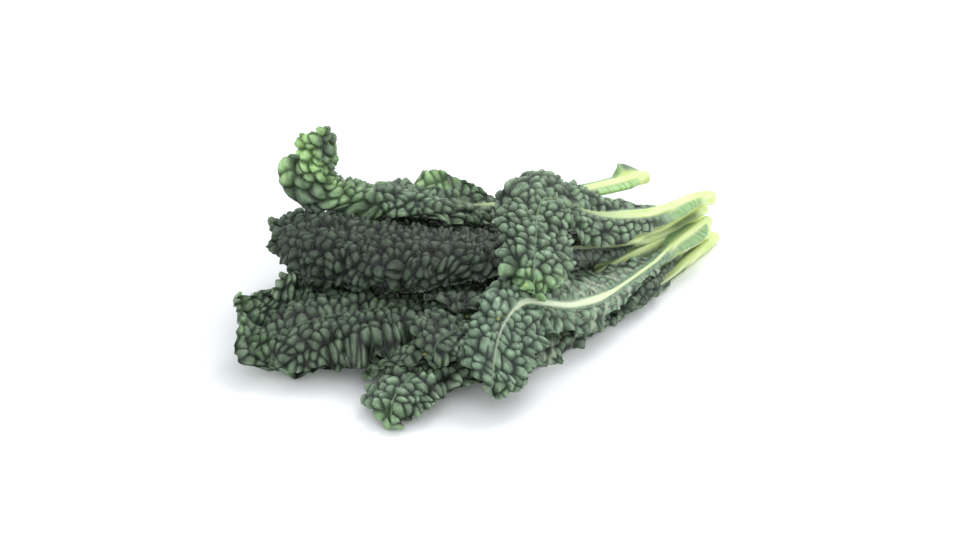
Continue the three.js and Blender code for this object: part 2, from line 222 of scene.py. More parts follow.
def ring_order(triangles, steps, tip):
    """Corner numbers as an array [ring, place], place 0 at the front margin and 8 at the back margin.

    A triangle with two corners in one ring and its third in the next holds the ring's edge in its forward
    direction. The back margin has one neighbour in the next ring, where the others have two or three."""
    after = np.zeros(len(steps), dtype=np.int64)
    for turn in range(3):
        a, b, c = triangles[:, turn], triangles[:, (turn + 1) % 3], triangles[:, (turn + 2) % 3]
        forward = (steps[a] == steps[b]) & (steps[c] == steps[a] + 1)
        after[a[forward]] = b[forward]
    edges = np.concatenate([triangles[:, [0, 1]], triangles[:, [1, 2]], triangles[:, [2, 0]]])
    upward = edges[steps[edges[:, 1]] == steps[edges[:, 0]] + 1]
    downward = edges[steps[edges[:, 1]] == steps[edges[:, 0]] - 1][:, ::-1]
    upward = np.unique(np.concatenate([upward, downward]), axis=0)
    ups = np.bincount(upward[:, 0], minlength=len(steps))
    rings = steps[tip] - 1
    back = np.array([np.flatnonzero((steps == ring + 1) & (ups == 1))[0] for ring in range(rings - 1)])
    last = upward[upward[:, 0] == back[-1], 1]
    order = np.empty((rings, ROUND_RING), dtype=np.int64)
    order[:, HALF_RING] = np.append(back, last)
    for place in range(HALF_RING + 1, HALF_RING + ROUND_RING):
        order[:, place % ROUND_RING] = after[order[:, (place - 1) % ROUND_RING]]
    return order


def leaf_cage(node):
    """The middle surface as [ring, column, xyz] with nine columns from the front to the back margin, the
    upright direction of each ring, the midrib's radius at each ring, and the leaf's tip.

    The middle surface is half way between the upper and the lower skin, and meets them at the margins."""
    corners, triangles = merged_mesh(node)
    steps, cut, tip = ring_numbers(corners, triangles)
    skin = corners[ring_order(triangles, steps, tip)]
    upper = skin[:, 0:HALF_RING + 1]
    lower = skin[:, np.arange(ROUND_RING, HALF_RING - 1, -1) % ROUND_RING]
    rise = upper[:, MIDRIB] - lower[:, MIDRIB]
    radius = np.linalg.norm(rise, axis=1) / 2
    return (upper + lower) / 2, rise / (2 * radius[:, None]), radius, corners[tip]


for name in sorted(frame["nodes"]):
    cage, _, radius, _ = leaf_cage(frame["nodes"][name])
    run = np.linalg.norm(np.diff(cage[:, MIDRIB], axis=0), axis=1).sum()
    print(f"{name}: {cage.shape[0]} rings, {1000 * run:.0f} mm long, stalk {2000 * radius[0]:.0f} mm thick")

# %% [markdown]
# ## A smooth surface through the cage
#
# The cage has a ring every 15 mm or so. A natural cubic spline is the curve that a thin springy strip takes
# when it is pinned at those rings, which is close to what a limp leaf does, so it is run along the leaf
# first and then across it.

# %% Spline
def spline(knots, values, at):
    """Natural cubic spline through values (along their first axis) at the knots, read at the places at.

    The second derivatives m solve h0 m0 + 2 (h0 + h1) m1 + h1 m2 = 6 (slope1 - slope0) at each inner knot
    and are zero at the ends. A span of length h is then the straight line between its values plus
    ((a^3 - a) m0 + (b^3 - b) m1) h^2 / 6, where b is the share of the span gone and a = 1 - b."""
    count = len(knots)
    flat = values.reshape(count, -1)
    h = np.diff(knots)
    inner = np.arange(1, count - 1)
    system = np.eye(count)
    system[inner, inner - 1] = h[:-1]
    system[inner, inner] = 2 * (h[:-1] + h[1:])
    system[inner, inner + 1] = h[1:]
    wanted = np.zeros_like(flat)
    wanted[1:-1] = 6 * np.diff(np.diff(flat, axis=0) / h[:, None], axis=0)
    bend = np.linalg.solve(system, wanted)
    span = np.clip(np.searchsorted(knots, at, side="right") - 1, 0, count - 2)
    b = ((at - knots[span]) / h[span])[:, None]
    a = 1 - b
    curve = a * flat[span] + b * flat[span + 1]
    curve += ((a**3 - a) * bend[span] + (b**3 - b) * bend[span + 1]) * (h[span] ** 2)[:, None] / 6
    return curve.reshape((len(at),) + values.shape[1:])


arch_knots = np.array([0.0, 1.0, 2.0])
print("a strip pinned at heights 0, 1, 0 is", spline(arch_knots, np.array([0.0, 1.0, 0.0]), np.array([0.5])),
      "high a quarter of the way along")

# %% [markdown]
# The fine grid follows the spline. Its rows and columns are about 1 mm apart, which is fine enough for a
# blister 6 mm wide. The tip could be closed by a cap, but rounding the outline off keeps one grid for it all.

# %% The middle surface of a leaf
COLUMN_SHARES = np.array([0, 0.16, 0.44, 0.74, 1])  # places of the cage's columns across half a blade
GRID_STEP = 0.00095  # metres between neighbouring points of the finished surface
TIP_ROUND = 0.012  # length over which the tip rounds off
TIP_ROWS = 18
TIP_POWER = 2.2  # 2 would be an ellipse; more makes a blunter tip
LEAST_CLOSING = 0.004  # keeps the last row from shrinking to a point
RING_ON_STALK = 4  # a ring whose upright direction tells the upper face from the lower one
HALF_COLUMNS = 0.55  # columns in half a blade for each grid step in the whole width
MOST_POINTS = 45000  # keeps a leaf under 200,000 triangles


def middle_surface(cage, upright, radius, tip):
    """Fine grid [row, column, xyz] of the middle surface with its measures.

    The cage is first drawn out to the tip. Rows follow the midrib at an even step and crowd together over
    the last stretch, where the width is multiplied by the square root of 1 - x^2.2 so that the tip closes in
    a round outline. Columns crowd towards the margins: their place is the mean of u and sin(u pi / 2)."""
    cage = np.concatenate([cage, cage[-1:] + (tip - cage[-1, MIDRIB])])
    radius = np.append(radius, radius[-1])
    knots = np.append(0, np.cumsum(np.linalg.norm(np.diff(cage[:, MIDRIB], axis=0), axis=1)))
    length = knots[-1]
    width = np.linalg.norm(np.diff(cage, axis=1), axis=2).sum(axis=1).max()
    rows = int((length - TIP_ROUND) / GRID_STEP)
    half_columns = min(int(width / GRID_STEP * HALF_COLUMNS), MOST_POINTS // (2 * (rows + TIP_ROWS)))
    turn = np.linspace(0, np.pi / 2, TIP_ROWS + 1)[1:]
    s = np.append(np.linspace(0, length - TIP_ROUND, rows), length - TIP_ROUND * (1 - np.sin(turn)))
    u = np.linspace(-1, 1, 2 * half_columns + 1)
    v = (u + np.sin(u * np.pi / 2)) / 2
    shares = np.concatenate([-COLUMN_SHARES[:0:-1], COLUMN_SHARES])
    along = spline(knots, cage, s)
    into_tip = np.clip((s - length + TIP_ROUND) / TIP_ROUND, 0, 1)
    closing = np.sqrt(np.clip(1 - into_tip**TIP_POWER, LEAST_CLOSING, 1))
    fine = spline(shares, along.transpose(1, 0, 2), v).transpose(1, 0, 2)
    middle = fine[:, half_columns:half_columns + 1]
    fine = middle + (fine - middle) * closing[:, None, None]
    normal = np.cross(np.gradient(fine, axis=0), np.gradient(fine, axis=1))
    normal /= np.linalg.norm(normal, axis=2, keepdims=True)
    row = np.searchsorted(s, knots[RING_ON_STALK])
    facing = (normal[row, half_columns] * upright[RING_ON_STALK]).sum()
    normal *= np.sign(facing)
    across = np.linalg.norm(np.diff(fine, axis=1), axis=2)
    w = np.concatenate([np.zeros((len(s), 1)), np.cumsum(across, axis=1)], axis=1)
    w -= w[:, half_columns:half_columns + 1]
    rib = np.interp(s, knots, radius)
    return {"points": fine, "normal": normal, "s": s, "w": w, "v": v, "rib": rib, "length": length,
            "turned": facing < 0}


# %% [markdown]
# ## Blisters, veins and frilled margins
#
# Everything that makes the blade look alive is a height over the middle surface, worked out from two lengths
# measured on the leaf itself: `s` along the midrib and `w` across it. Because they are lengths, a dome is
# 6 mm wide wherever it lies.
#
# The domes could be modelled one by one, or painted on as bump. A cell pattern does better: scatter one seed
# point per cell of a lattice, and let each point of the blade measure the way to its nearest and its second
# nearest seed. Where the two are equal lies a valley, which is where the veins run on the real leaf.

# %% Scattered cells
def scatter(a, b, seed):
    """A repeatable number from 0 to 1 for each pair of lattice numbers: the fraction of a large sine."""
    return np.modf(np.abs(np.sin(a * 12.9898 + b * 78.233 + seed * 37.719) * 43758.5453))[0]


def cells(x, y, size, seed, jitter=0.8):
    """Each point's depth in its cell, its distance from the cell's seed, and the cell's own number, 0 to 1.

    Both lengths are in cell sizes. The depth is the distance to the second nearest seed less that to the
    nearest, so it is 0 on a border and up to about 1 in the middle."""
    column, row = np.floor(x / size), np.floor(y / size)
    nearest = np.full(x.shape, np.inf)
    second = np.full(x.shape, np.inf)
    own = np.zeros(x.shape)
    for i in (-1, 0, 1):
        for j in (-1, 0, 1):
            seed_x = column + i + 0.5 + jitter * (scatter(column + i, row + j, seed) - 0.5)
            seed_y = row + j + 0.5 + jitter * (scatter(column + i, row + j, seed + 5) - 0.5)
            far = np.hypot(seed_x - x / size, seed_y - y / size)
            closer = far < nearest
            second = np.where(closer, nearest, np.minimum(second, far))
            own = np.where(closer, scatter(column + i, row + j, seed + 9), own)
            nearest = np.where(closer, far, nearest)
    return second - nearest, nearest, own


def drift(x, y, size, seed):
    """Smooth noise from -1 to 1: lattice values blended with the weight t^2 (3 - 2 t) in both directions."""
    column, row = np.floor(x / size), np.floor(y / size)
    tx, ty = x / size - column, y / size - row
    tx, ty = tx * tx * (3 - 2 * tx), ty * ty * (3 - 2 * ty)
    near = scatter(column, row, seed) * (1 - tx) + scatter(column + 1, row, seed) * tx
    far = scatter(column, row + 1, seed) * (1 - tx) + scatter(column + 1, row + 1, seed) * tx
    return 2 * (near * (1 - ty) + far * ty) - 1


def step_up(value, low, high):
    """0 below low, 1 above high, and t^2 (3 - 2 t) between them."""
    t = np.clip((value - low) / (high - low), 0, 1)
    return t * t * (3 - 2 * t)


trial_x, trial_y = np.meshgrid(np.arange(0, 20, 0.1), np.arange(0, 20, 0.1))
print(f"mean depth in a cell: {cells(trial_x, trial_y, 1.0, 1)[0].mean():.2f} of its size")

# %% [markdown]
# ### Side veins
#
# Side veins leave the midrib every 17 mm or so at a little over half a right angle and lean towards the tip.
# They are broad and pale where they start and fade before the margin. They could be curves laid on the blade,
# but as a weight that any point can ask for, they can pull the blisters down and colour the blade as well.

# %% Side veins
VEIN_SPACING = 0.017
VEIN_SLANT = 0.62  # how far a side vein runs towards the tip for each unit that it runs outwards
VEIN_WANDER = 0.0022  # how far a vein strays from its straight line
VEIN_ROOT, VEIN_END = 0.0015, 0.0005  # half breadth that is lost on the way out, and that is left


def side_veins(s, w, half_width, seed):
    """Weight of the side veins, 1 on a vein's middle line. A vein is the line s - slant |w| = constant, and
    its weight is exp(-(d / b)^2) for the distance d from it and its half breadth b."""
    side = np.where(w < 0, 0.0, 1.0)
    q = s - VEIN_SLANT * np.abs(w) + VEIN_WANDER * drift(s, w, 0.014, seed + 3)
    k = np.floor(q / VEIN_SPACING)
    off = np.full(q.shape, np.inf)
    for i in (-1, 0, 1):
        line = (k + i + 0.5 + 0.5 * (scatter(k + i, side, seed) - 0.5)) * VEIN_SPACING
        off = np.minimum(off, np.abs(q - line))
    share = np.clip(np.abs(w) / half_width, 0, 1)
    breadth = VEIN_ROOT * (1 - share) + VEIN_END
    return np.exp(-((off / breadth) ** 2)) * (1 - step_up(share, 0.55, 0.9))


trial_s, trial_w = np.meshgrid(np.arange(0, 0.1, 0.0005), np.arange(0, 0.03, 0.0005), indexing="ij")
on_vein = (side_veins(trial_s, trial_w, 0.03, 1) > 0.5).mean()
print(f"share of a blade that lies on a side vein: {on_vein:.2f}")

# %% [markdown]
# ### One dome
#
# A blister is rounder than a cone and flatter than a ball. Its profile is a power of a parabola, and it is
# pinched near its border, so that neighbours meet in a sharp crease.

# %% Domes
DOME_SIZE = 0.0064
SMALL_DOME_SIZE = 0.0031
DOME_RADIUS = 0.85  # in cell sizes
DOME_POWER = 0.75
PINCH_DEPTH = 0.28  # depth in the cell over which a dome rises from its crease


def domes(x, y, size, seed):
    """Height from 0 to 1 of round domes packed side by side, the depth in their cells and their own numbers.

    A dome is (1 - (r / radius)^2)^0.75 for the distance r from its seed, times (depth / pinch)^0.6."""
    depth, far, own = cells(x, y, size, seed)
    cap = np.clip(1 - (far / DOME_RADIUS) ** 2, 0, 1) ** DOME_POWER
    return cap * np.clip(depth / PINCH_DEPTH, 0, 1) ** 0.6, depth, own


print(f"mean height of the domes: {domes(trial_s, trial_w, DOME_SIZE, 1)[0].mean():.2f} of the highest")

# %% [markdown]
# ### Where a point lies on its leaf
#
# All that follows asks the same things of a point: how far along the leaf it is, how far out, how wide the
# blade is there, and how much of the midrib is left. They are worked out once for the whole grid.

# %% Measures of a blade
RIB_THINNING = 0.8  # share of the midrib's breadth that it loses on its way to the tip
RIB_FADE = 0.25  # share of the leaf over which it does so
RIB_FOOT = 0.0030  # breadth of the flat strip beside the midrib
SMOOTH_BEFORE, SMOOTH_AFTER = 0.15, 0.12  # shares of the leaf over which the blisters fill out


def blade_measures(surface, look):
    """Arrays over the leaf's grid. spread goes from 0 on the bare stalk to 1 on the blade, thread from 0 on
    the thick midrib to 1 where it is as thin as a thread, and full from 0 to 1 as the blisters fill out."""
    w = surface["w"]
    s = surface["s"][:, None] + 0 * w
    rib = surface["rib"][:, None]
    half_width = np.maximum(np.abs(w).max(axis=1, keepdims=True), rib)
    spread = np.clip((half_width - rib) / (2 * rib), 0, 1)
    place = s / surface["length"]
    thread = step_up(place, look["rib_to"] - RIB_FADE, look["rib_to"])
    rib_shown = rib * (1 - RIB_THINNING * thread)
    foot = RIB_FOOT * (1 - RIB_THINNING * thread)
    return {
        "s": s,
        "w": w,
        "v": np.abs(surface["v"])[None, :] + 0 * w,
        "side": np.sign(surface["v"])[None, :] + 0 * w,
        "half_width": half_width,
        "spread": spread,
        "place": place,
        "thread": thread,
        "rib_shown": rib_shown,
        "off_rib": step_up(np.abs(w) - rib_shown * (1 - thread), 0, foot) * spread,
        "full": step_up(place, look["smooth_to"] - SMOOTH_BEFORE, look["smooth_to"] + SMOOTH_AFTER),
    }


# %% [markdown]
# ### The blistered blade
#
# Domes as high as the leaf's look says stand between the veins, and each carries a few smaller ones. Lumps
# three domes wide and folds that run out to the margin keep the blade from looking like a sheet of pebbles.
# The rows of domes are bent by smooth noise, because tissue never grows on a lattice.

# %% Blisters
BEND, BEND_SIZE = 0.0030, 0.011  # how far the rows of domes are bent, and over what length
SMALL_DOME_HEIGHT = 0.0011
LUMP_HEIGHT = 0.0030
FOLD_HEIGHT, FOLD_LENGTH = 0.0012, 0.012
RUFFLE_LENGTH = 0.027
TROUGH_FROM, TROUGH_TO = 0.001, 0.009  # where the slope down to the midrib ends and begins


def blisters(m, look):
    """Height of the blade over its middle surface: domes whose height varies from one to the next, small
    domes on them, lumps, folds that run beside the veins, and the wave of the margin. It returns the height,
    the domes, their depth, the lumps and the weight of the veins."""
    s, w, v, full, seed = m["s"], m["w"], m["v"], m["full"], look["seed"]
    bend_s = s + BEND * drift(s, w, BEND_SIZE, seed + 1)
    bend_w = w + BEND * drift(s, w, BEND_SIZE, seed + 2)
    dome, depth, own = domes(bend_s, bend_w * 0.92, DOME_SIZE * look["dome"], seed)
    small, _, _ = domes(bend_s, bend_w, SMALL_DOME_SIZE, seed + 20)
    lump, _, _ = cells(bend_s, bend_w, 3 * DOME_SIZE, seed + 40)
    veins = side_veins(s, w, m["half_width"], seed) * veined_part(m, look)
    swell = (0.3 + 0.7 * full) * (0.65 + 0.7 * own)
    swell *= 0.5 + 0.5 * np.maximum(step_up(v, 0.05, 0.4), m["thread"])
    height = swell * dome * (1 - 0.7 * veins) * look["height"] + SMALL_DOME_HEIGHT * small * dome * full
    height += LUMP_HEIGHT * step_up(lump, 0, 0.7) * full * step_up(v, 0.2, 0.6)
    along_fold = (s - VEIN_SLANT * np.abs(w)) / FOLD_LENGTH
    folds = np.sin(2 * np.pi * along_fold + 2.5 * drift(s, w, 0.03, seed + 4))
    height += FOLD_HEIGHT * folds * step_up(v, 0.35, 1) * full
    ruffle = np.sin(2 * np.pi * s / RUFFLE_LENGTH + 3 * drift(s, m["side"], 0.05, seed + 6))
    ruffle += 0.4 * drift(s, m["side"], 0.008, seed + 7)
    height += look["ruffle"] * ruffle * step_up(v, 0.72, 1)
    return height, dome, depth, lump, veins


def veined_part(m, look):
    """1 where the veins show, falling to 0 over a fifth of the leaf before the place where they end."""
    return 1 - step_up(m["place"], look["vein_to"] - 0.2, look["vein_to"])


# %% [markdown]
# ### Frills, lobes and wings
#
# The margin of black kale is finely frilled. Low down, narrow wings of blade run along the stalk, and here
# and there a rounded lobe stands out from the margin. All three push the margin outward, and lobes also
# lift it.

# %% Margins
FRILL, FINE_FRILL = 0.0026, 0.0006
LOBE_EDGE = 0.004  # reach at which a lobe or a wing has its full colour


def lobes(s, side, look):
    """How far the lobes of a margin or of a stalk's wing reach out. Each lobe in the list has a side, a
    middle and a half length along the midrib, and a reach, and its outline is 1 - |x|^2.5."""
    reach = np.zeros(s.shape)
    for lobe_side, middle, half, far in look["lobes"]:
        x = np.clip(np.abs(s - middle) / half, 0, 1)
        reach = np.maximum(reach, (side == lobe_side) * far * (1 - x**2.5))
    return reach


def margins(m, look):
    """The outward push of frill, wings and lobes, the lift of the lobes, the weight of the blade that is on
    a lobe, and the reach of wings and lobes alone. The push grows from nothing over the outer fifth."""
    s, side, v, seed = m["s"], m["side"], m["v"], look["seed"]
    lobe = lobes(s, side, look) * (1 + 0.2 * drift(s, side, 0.008, seed + 16))
    on_lobe = step_up(lobe, 0, LOBE_EDGE) * step_up(v, 0.55, 0.75)
    wing = look["wing"] * step_up(drift(s, side, 0.035, seed + 13), -0.6, 0.4) * step_up(s, 0.004, 0.03)
    wing = np.maximum(wing * (1 - m["spread"]), lobe)
    frill = FRILL * drift(s, side, 0.009, seed + 8) + FINE_FRILL * drift(s, side, 0.004, seed + 11)
    outward = frill * m["spread"] * step_up(v, 0.8, 1) + wing * step_up(v, 0.7, 1)
    lifted = lobe * step_up(v, 0.62, 1) * (look["lobe_rise"] + 0.45 * drift(s, side, 0.008, seed + 14))
    return outward, lifted, on_lobe, wing


# %% [markdown]
# ### Where the colours go
#
# The same measures say where each colour goes: pale on the midrib and on the fine net of veins beside it,
# waxy with a painted highlight on the tops of the domes, in painted shade in the creases, and fresh green where
# the tissue is young.

# %% Colour weights
NET_DEPTH = 0.12  # depth in a cell up to which the net of small veins shows
RIB_PALE_EDGE = (0.75, 1.15)  # in midrib half breadths, where its pale colour ends
BARE_SHARE = 0.4  # share of the midrib's breadth that stays pale where blade tissue covers its sides
PALE_FADE = 0.12  # share of the leaf over which the rest of its breadth turns pale
RIB_COLOUR_PAST = 0.12  # share of the leaf over which the thread of the midrib loses its colour


def rib_colour(m, look, wing):
    """1 on the midrib and on the bare stalk. It ends at the midrib's edge and under the wings, and weakens to
    the look's thread where the midrib is thin."""
    pale_part = step_up(m["place"], look["pale_from"] - PALE_FADE, look["pale_from"])
    pale = m["rib_shown"] * (BARE_SHARE + (1 - BARE_SHARE) * pale_part)
    weight = 1 - step_up(np.abs(m["w"]) / pale, *RIB_PALE_EDGE) * np.clip(m["spread"] * 3, 0, 1)
    weight *= 1 - step_up(wing, 0, LOBE_EDGE) * step_up(m["v"], 0.7, 0.85)
    last = look["rib_to"] + RIB_COLOUR_PAST
    weight *= 1 - (1 - look["thread"]) * m["thread"]
    return weight * (1 - step_up(m["place"], last, last + RIB_COLOUR_PAST))


def net_of_veins(m, look, depth):
    """1 in the creases between domes, near the midrib and in patches."""
    net = step_up(NET_DEPTH - depth, 0, NET_DEPTH)
    net *= 1 - step_up(m["v"], look["net_to"] - 0.35, look["net_to"])
    net *= step_up(drift(m["s"], m["w"], 0.012, look["seed"] + 15), -0.5, 0.5)
    return net * veined_part(m, look)


def young_colour(m, look, on_lobe):
    """1 where the tissue is young: towards the tip, along the margin, on lobes and on the stalk's wings."""
    young = look["young"] * step_up(m["place"], look["young_from"], 1)
    young += look["young_margin"] * step_up(m["v"], 0.75, 1)
    young += look["lobe_smooth"] * on_lobe + 0.7 * (1 - m["spread"]) * step_up(m["v"], 0.7, 0.85)
    return np.clip(young, 0, 1)


# %% [markdown]
# ### All of it together
#
# The blisters stop at the midrib, which lies in a trough between the two halves of the blade, and the lobes
# are lifted last. Where the blade hasn't yet spread, on the stalk, nothing but the wings is added.

# %% Blade relief
SUNK = 0.0013  # how far the creases lie below the middle surface
VEIN_COLOUR, NET_COLOUR = 0.45, 0.8  # how pale the side veins and the net of small veins are
# The flat strip beside the midrib takes this share of the dome tops' colour, which is wax with a painted
# highlight.
BARE_WAX = 0.75  # how waxy the flat strip beside the midrib is


def blade_relief(surface, look):
    """Heights, outward push and colour weights of a leaf over its middle surface.

    The relief is the blisters' height less the depth of their creases, times how far the point is off the
    midrib, less the trough, plus the lift of the lobes. A dome's colour of wax and painted highlight goes with
    the square of its height, so its crease is left in painted shade, and the hollows between lumps are painted
    darker."""
    m = blade_measures(surface, look)
    height, dome, depth, lump, veins = blisters(m, look)
    outward, lifted, on_lobe, wing = margins(m, look)
    height *= 1 - look["lobe_smooth"] * on_lobe
    trough = 1 - step_up(np.abs(m["w"]), TROUGH_FROM, TROUGH_TO)
    trough *= look["trough"] * (1 - 0.5 * m["thread"]) * m["spread"]
    off_rib = m["off_rib"]
    veins = np.clip(veins * VEIN_COLOUR + net_of_veins(m, look, depth) * NET_COLOUR, 0, 1)
    # Painted light: the tops of the domes take the colour of wax and a painted highlight, the creases a painted
    # shade, and the hollows between lumps are painted darker.
    wax_and_lit_tops = dome**2 * (0.6 + 0.4 * step_up(lump, 0, 0.5))
    return {
        "relief": (height - SUNK) * off_rib - trough + lifted,
        "outward": outward * m["side"],
        "spread": m["spread"],
        "rib_shown": m["rib_shown"],
        "rib_weight": rib_colour(m, look, wing),
        "vein_weight": veins * off_rib,
        "wax_and_shade_weight": wax_and_lit_tops * off_rib + (1 - off_rib) * BARE_WAX,
        "young_weight": young_colour(m, look, on_lobe),
        "place": m["place"],
        "margin": m["v"],
    }


# %% [markdown]
# ## One leaf as a closed sheet
#
# The upper face is the middle surface plus the relief. The lower face follows it one tissue thickness below,
# so each dome is a hollow from behind, as on the real leaf. The midrib is a round bar that stands out below
# and only a little above. The two faces share their points along the margins and the tip, and the cut end of
# the stalk is closed by a fan.

# %% Leaf mesh
TISSUE = 0.0009  # thickness of the blade itself
EDGE_POWER = 12  # the higher, the closer to the margin the tissue keeps its thickness
RIB_ABOVE = 0.45  # height of the midrib over the blade, as a share of its radius
CUT_BULGE = 0.6  # how far the cut end stands out, in grid steps


def leaf_points(surface, relief):
    """Upper and lower points. Both are the middle surface, moved outward by the frill and along its normal
    by the relief, plus or minus the round midrib whose height is the square root of r^2 - w^2. What would
    sink into the surface that the bunch lies on is pressed flat against it."""
    w, rib = surface["w"], surface["rib"][:, None]
    outward = np.gradient(surface["points"], axis=1)
    outward /= np.linalg.norm(outward, axis=2, keepdims=True)
    base = surface["points"] + outward * relief["outward"][..., None]
    shown_rib = np.sqrt(np.clip(relief["rib_shown"] ** 2 - w**2, 0, None))
    above = relief["relief"] + shown_rib * (1 - (1 - RIB_ABOVE) * relief["spread"])
    under_rib = np.sqrt(np.clip(rib**2 - w**2, 0, None))
    tissue = TISSUE * relief["spread"] * (1 - relief["margin"] ** EDGE_POWER)
    below = relief["relief"] - np.maximum(tissue, under_rib)
    upper = base + surface["normal"] * above[..., None]
    lower = base + surface["normal"] * below[..., None]
    upper[..., 2] = np.maximum(upper[..., 2], TISSUE)
    lower[..., 2] = np.maximum(lower[..., 2], 0)
    return upper, lower


def sheet_faces(rows, columns, turned):
    """Faces of a closed sheet, with the number of each lower point. The sheet shares its margins and its
    last row; the first row's two faces are closed by a fan round one more point."""
    upper = np.arange(rows * columns).reshape(rows, columns)
    own = np.zeros((rows, columns), dtype=bool)
    own[:-1, 1:-1] = True
    lower = upper.copy()
    lower[own] = rows * columns + np.arange(own.sum())
    cut = rows * columns + own.sum()

    def quads(grid):
        return np.stack([grid[:-1, :-1], grid[1:, :-1], grid[1:, 1:], grid[:-1, 1:]], axis=-1).reshape(-1, 4)

    faces = np.concatenate([quads(upper), quads(lower)[:, ::-1]])
    loop = np.concatenate([upper[0], lower[0, -2:0:-1]])
    fan = np.stack([loop, np.roll(loop, -1), np.full(len(loop), cut)], axis=1)
    if turned:
        faces, fan = faces[:, ::-1], fan[:, ::-1]
    return faces.tolist() + fan.tolist(), own


def leaf_mesh(name, surface, relief, tone_and_shade):
    """The closed sheet as a mesh, with its colour weights as point attributes and with a UV map "leaf" that
    holds the lengths s and w in metres, so that patterns keep their size on the blade."""
    upper, lower = leaf_points(surface, relief)
    rows, columns = upper.shape[:2]
    faces, own = sheet_faces(rows, columns, surface["turned"])
    cut = (upper[0].mean(axis=0) + lower[0].mean(axis=0))[None] / 2
    cut += (surface["points"][0, columns // 2] - surface["points"][1, columns // 2]) * CUT_BULGE
    points = np.concatenate([upper.reshape(-1, 3), lower[own], cut])
    mesh = bpy.data.meshes.new(name)
    mesh.from_pydata(points.tolist(), [], faces)
    mesh.polygons.foreach_set("use_smooth", np.ones(len(faces), dtype=bool))

    def store(title, values, cut_value, lower_values=None):
        lower_values = values if lower_values is None else lower_values
        whole = np.concatenate([values.ravel(), lower_values[own], [cut_value]])
        mesh.attributes.new(title, "FLOAT", "POINT").data.foreach_set("value", whole.astype(np.float32))

    store("rib", relief["rib_weight"], 1)
    store("vein", relief["vein_weight"], 0)
    # The dome weight carries the wax and painted highlight on the dome tops and the painted shade in the
    # creases.
    store("dome", relief["wax_and_shade_weight"], 0)
    store("place", relief["place"], 0)
    store("young", relief["young_weight"], 0)
    store("tone_and_shade", np.full_like(relief["margin"], tone_and_shade), tone_and_shade)
    store("upper", np.ones_like(relief["margin"]), 0, np.zeros_like(relief["margin"]))
    flat = np.stack([surface["s"][:, None] + 0 * surface["w"], surface["w"]], axis=-1)
    flat = np.concatenate([flat.reshape(-1, 2), flat[own], [[0, 0]]])
    corner_points = np.empty(len(mesh.loops), dtype=np.int64)
    mesh.loops.foreach_get("vertex_index", corner_points)
    mesh.uv_layers.new(name="leaf").data.foreach_set("uv", flat[corner_points].ravel())
    mesh.validate()
    return mesh


# %% [markdown]
# ## Finish
#
# A waxy, living blade. Its wax scatters light, so it is never glossy, and it is thickest on the tops of the
# domes, which are painted greyer and lighter than the valleys: partly the wax itself, partly a painted
# highlight on the tops and painted shade in the creases. Young tissue at the tip and the margin is a fresher
# green. Midrib and
# stalk hold almost no pigment: they are pale yellow-green and whitish where light passes through them.
#
# The blade could be painted, but its colours follow its shape so closely that the weights stored on the mesh
# say it all. The material lays one colour over the next by those weights, and adds patches of wax, yellowing
# spots, the fibres of the stalk and the finest wrinkles, all sized in metres on the leaf's own UV map.

# %% Sizes and settings of the finish
WAX_PATCH = 0.0035  # size of the patches of thicker and thinner wax
YOUNG_PATCH = 0.03  # size of the patches in which young tissue keeps its fresh green
SPOT = 0.010  # size of the noise whose few peaks are the yellowing spots
FIBRE = 0.0012  # breadth of the fibres that show along a stalk
FIBRE_STRETCH = 0.04  # a fibre is this many times shorter in the pattern than along the stalk
PORE = 0.0011  # size of the finest wrinkles, drawn coarser than real to show at all
PORE_DEPTH, PORE_STRENGTH = 0.0006, 0.25
PATCHY_WAX = 0.4  # share of the wax that comes and goes in patches
SPOT_COLOUR, SPOT_STRENGTH = "#a2ad50", 0.4
UNDERSIDE, UNDERSIDE_STRENGTH = "#8fa688", 0.55
STALK_DEEP, STALK_PALE = "#cfe28c", "#e6f1b4"
LEAF_ROUGHNESS = 0.42  # wax bloom: a soft sheen
WAX_IOR = 1.42

MULTIPLY = {"operation": "MULTIPLY"}
SMOOTH_STEP = {"interpolation_type": "SMOOTHSTEP"}
COLOURS = {"data_type": "RGBA", "clamp_factor": True}
FACTOR, FIRST, SECOND = 0, 6, 7  # a Mix node's inputs when it mixes colours
MIXED = 2  # and its output
print("wax patches", 1000 * WAX_PATCH, "mm, fibres", 1000 * FIBRE, "mm, pores", 1000 * PORE, "mm")


